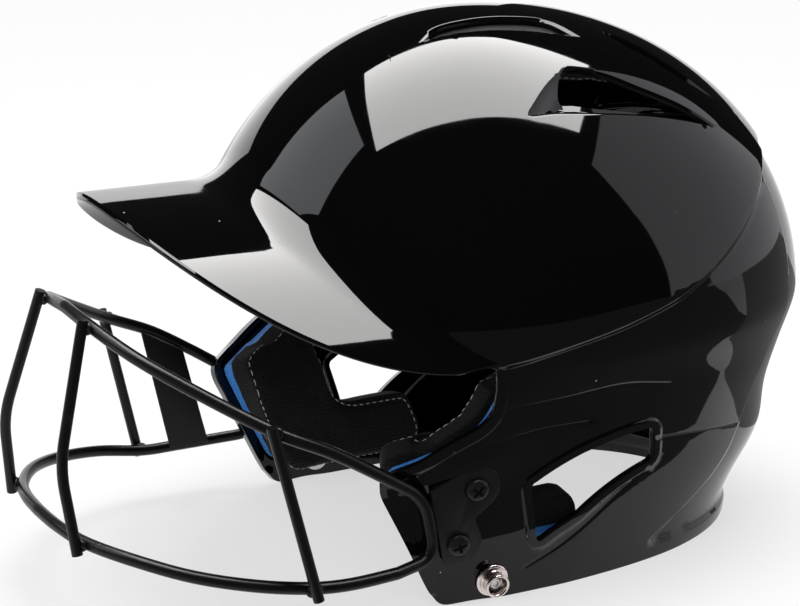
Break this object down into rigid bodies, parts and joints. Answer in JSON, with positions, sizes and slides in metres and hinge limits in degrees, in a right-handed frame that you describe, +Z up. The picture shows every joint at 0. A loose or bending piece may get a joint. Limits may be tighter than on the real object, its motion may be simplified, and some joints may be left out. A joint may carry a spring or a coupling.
{
  "type": "softball batting helmet with facemask",
  "caption": "Open-faced batting helmet with a short bill, cheek flaps with ear holes, a ponytail port, glued pads and a bolted wire face guard.",
  "frame": {"origin": "middle of the helmet's bounding box in plan, at the level of the lower rim that it rests on", "axes": "+X to the wearer's left, +Y to the back of the head, +Z up through the crown"},
  "size_m": [0.1996, 0.3188, 0.2085],
  "materials": {
    "shell_gloss": "high-gloss black moulded ABS",
    "wire_coated": "satin black powder coat",
    "plate_coated": "matte black powder coat",
    "screw_black": "black oxide, satin",
    "washer_rubber": "matte black rubber",
    "nut_steel": "zinc-plated",
    "snap_chrome": "bright nickel plate",
    "rivet_steel": "bright nickel plate",
    "foam_blue": "closed-cell foam, matte bright blue",
    "pad_knit": "black warp-knit facing over foam"
  },
  "bodies": {
    "root": {"shell": "shell_gloss", "brow_pad": "pad_knit", "crown_pad": "pad_knit", "rear_pad_left": "pad_knit", "rear_pad_right": "pad_knit", "side_pad_left": "pad_knit", "side_pad_right": "pad_knit", "ear_foam_left": "foam_blue", "ear_foam_right": "foam_blue", "ear_pad_left": "pad_knit", "ear_pad_right": "pad_knit", "mask_loop": "wire_coated", "mask_bar_center_left": "wire_coated", "mask_bar_center_right": "wire_coated", "mask_bar_side_left": "wire_coated", "mask_bar_side_right": "wire_coated", "mask_label_plate": "plate_coated", "mask_plate_left": "plate_coated", "mask_plate_right": "plate_coated", "mask_screws_left": "screw_black", "mask_screws_right": "screw_black", "mask_washers_left": "washer_rubber", "mask_washers_right": "washer_rubber", "mask_nuts_left": "nut_steel", "mask_nuts_right": "nut_steel", "chin_snap_left": "snap_chrome", "chin_snap_right": "snap_chrome", "snap_rivet_left": "rivet_steel", "snap_rivet_right": "rivet_steel"}
  },
  "joints": []
}
